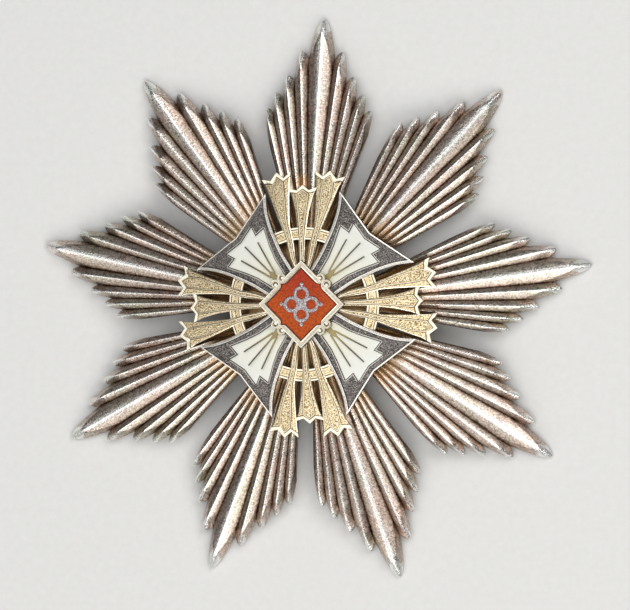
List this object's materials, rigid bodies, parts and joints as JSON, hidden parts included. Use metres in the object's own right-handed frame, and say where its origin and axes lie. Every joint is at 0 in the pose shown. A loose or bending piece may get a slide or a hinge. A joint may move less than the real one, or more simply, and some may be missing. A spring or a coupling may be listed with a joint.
{
  "type": "breast star",
  "caption": "Domed silver breast star with fans of ridged rays, a pierced gilt sheaf cross, a dark enamelled cross and an upright lozenge medallion.",
  "frame": {"origin": "on the star's axis, in the plane that the nine long tips rest on, which is the plane that lies against the coat", "axes": "+Z out of the face, +Y towards the top of the star, +X to the wearer's left when the star is seen face on"},
  "size_m": [0.0856, 0.0849, 0.0094],
  "materials": {
    "star_silver": "oxidised silver, satin",
    "gilt": "stippled gilt with bright edges",
    "dark_silver": "blackened stipple with light rims",
    "white_enamel": "glossy",
    "medallion_gilt": "polished gilt",
    "red_enamel": "glossy translucent",
    "device_silver": "satin",
    "brooch_silver": "plain silver"
  },
  "bodies": {
    "root": {"ray_star": "star_silver", "gold_cross": "gilt", "diagonal_cross": "dark_silver", "enamel_arm_1": "white_enamel", "enamel_arm_2": "white_enamel", "enamel_arm_3": "white_enamel", "enamel_arm_4": "white_enamel", "medallion_frame": "medallion_gilt", "medallion_enamel": "red_enamel", "medallion_device": "device_silver", "brooch_pin": "brooch_silver"}
  },
  "joints": []
}
